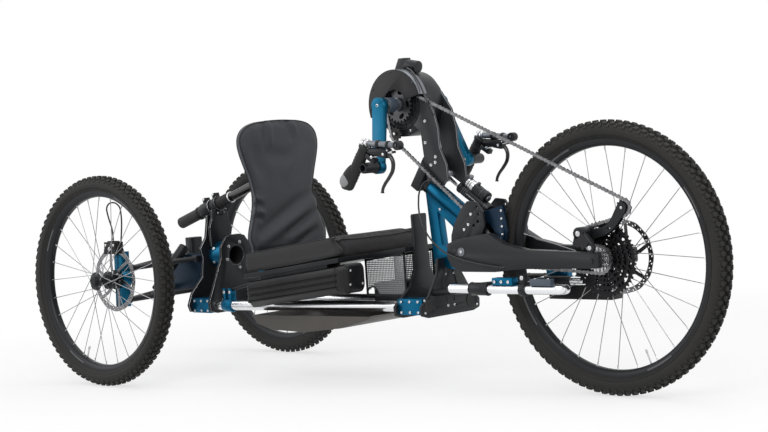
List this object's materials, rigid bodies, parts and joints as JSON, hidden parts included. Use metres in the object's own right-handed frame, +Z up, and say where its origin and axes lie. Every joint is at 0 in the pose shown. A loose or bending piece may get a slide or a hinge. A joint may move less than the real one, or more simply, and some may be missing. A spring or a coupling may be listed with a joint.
{
  "type": "recumbent hand-cranked trike",
  "caption": "Recumbent trike cranked by hand: two cambered wheels behind the low seat, one steered and chain-driven wheel in front.",
  "frame": {"origin": "centre of the footprint on the ground, midway along the overall length", "axes": "+X forward, +Y to the rider's left, +Z up"},
  "size_m": [2.403, 0.8562, 0.956],
  "materials": {
    "blue_anodised": "satin anodised blue",
    "black_anodised": "satin black",
    "silver_tube": "brushed",
    "grey_metal": "satin",
    "dark_steel": "dark steel",
    "spoke_steel": "polished",
    "tyre_rubber": "matt",
    "grip_rubber": "matt",
    "black_plastic": "matt",
    "slate_fabric": "woven",
    "mesh_grey": "perforated",
    "pan_grey": "matt"
  },
  "bodies": {
    "frame": {"rails": "silver_tube", "backbone": "blue_anodised", "tail_plate": "black_anodised", "flange_plates": "black_anodised", "push_grip": "grip_rubber", "push_bar": "black_anodised", "rail_clamps": "blue_anodised", "nose_plate": "black_anodised", "front_plate": "black_anodised", "head_column": "blue_anodised", "wishbones": "black_anodised", "uprights": "blue_anodised", "rear_calipers": "black_plastic", "rear_shocks": "black_anodised", "rear_carrier": "blue_anodised", "seat_frame": "black_anodised", "seat_cushion": "slate_fabric", "seat_cheeks": "slate_fabric", "seat_back": "slate_fabric", "battery": "black_plastic", "mesh_panels": "mesh_grey", "controller": "black_plastic", "belly_pan": "pan_grey", "footrests": "silver_tube", "foot_carriers": "black_anodised", "foot_supports": "blue_anodised", "brake_hoses": "black_plastic"},
    "steering": {"steering_crowns": "black_anodised", "mast": "black_anodised", "drive_housing": "black_plastic", "chain_guard": "black_plastic", "pivot_plates": "black_anodised", "swingarm": "black_anodised", "front_shock": "black_anodised", "shock_yoke": "blue_anodised", "chain_idlers": "black_plastic", "derailleur": "dark_steel", "front_caliper": "black_plastic", "chain": "spoke_steel", "control_cables": "black_plastic"},
    "crank": {"crank_spindle": "grey_metal", "crank_arms": "blue_anodised"},
    "left_handle": {"left_grip": "grip_rubber", "left_controls": "black_anodised"},
    "right_handle": {"right_grip": "grip_rubber", "right_controls": "black_anodised"},
    "front_wheel": {"front_tyre": "tyre_rubber", "front_rim": "black_anodised", "front_hub": "spoke_steel", "front_rotor": "dark_steel", "cassette": "dark_steel"},
    "left_wheel": {"left_tyre": "tyre_rubber", "left_rim": "black_anodised", "left_hub": "spoke_steel", "left_rotor": "dark_steel"},
    "right_wheel": {"right_tyre": "tyre_rubber", "right_rim": "black_anodised", "right_hub": "spoke_steel", "right_rotor": "dark_steel"}
  },
  "joints": [
    {"name": "steering_turn", "type": "hinge", "parent": "frame", "child": "steering", "pos_m": [0.2815, 0, 0.527], "axis": [-0.8192, 0, 0.5736], "range_deg": [-15, 15]},
    {"name": "front_wheel_roll", "type": "hinge", "parent": "steering", "child": "front_wheel", "pos_m": [0.8315, 0, 0.37], "axis": [0, 1, 0], "continuous": true},
    {"name": "left_wheel_roll", "type": "hinge", "parent": "frame", "child": "left_wheel", "pos_m": [-0.8685, 0.3875, 0.33287], "axis": [0, 0.9994, 0.0349], "continuous": true},
    {"name": "right_wheel_roll", "type": "hinge", "parent": "frame", "child": "right_wheel", "pos_m": [-0.8685, -0.3875, 0.33287], "axis": [0, 0.9994, -0.0349], "continuous": true},
    {"name": "crank_turn", "type": "hinge", "parent": "steering", "child": "crank", "pos_m": [0.1435, 0, 0.821], "axis": [0, 1, 0], "continuous": true},
    {"name": "left_handle_turn", "type": "hinge", "parent": "crank", "child": "left_handle", "pos_m": [0.1815, 0.191, 0.647], "axis": [0, 1, 0], "continuous": true},
    {"name": "right_handle_turn", "type": "hinge", "parent": "crank", "child": "right_handle", "pos_m": [0.1815, -0.191, 0.647], "axis": [0, 1, 0], "continuous": true}
  ],
  "couplings": [
    {"joint": "left_handle_turn", "follows": "crank_turn", "ratio": -1},
    {"joint": "right_handle_turn", "follows": "crank_turn", "ratio": -1}
  ]
}
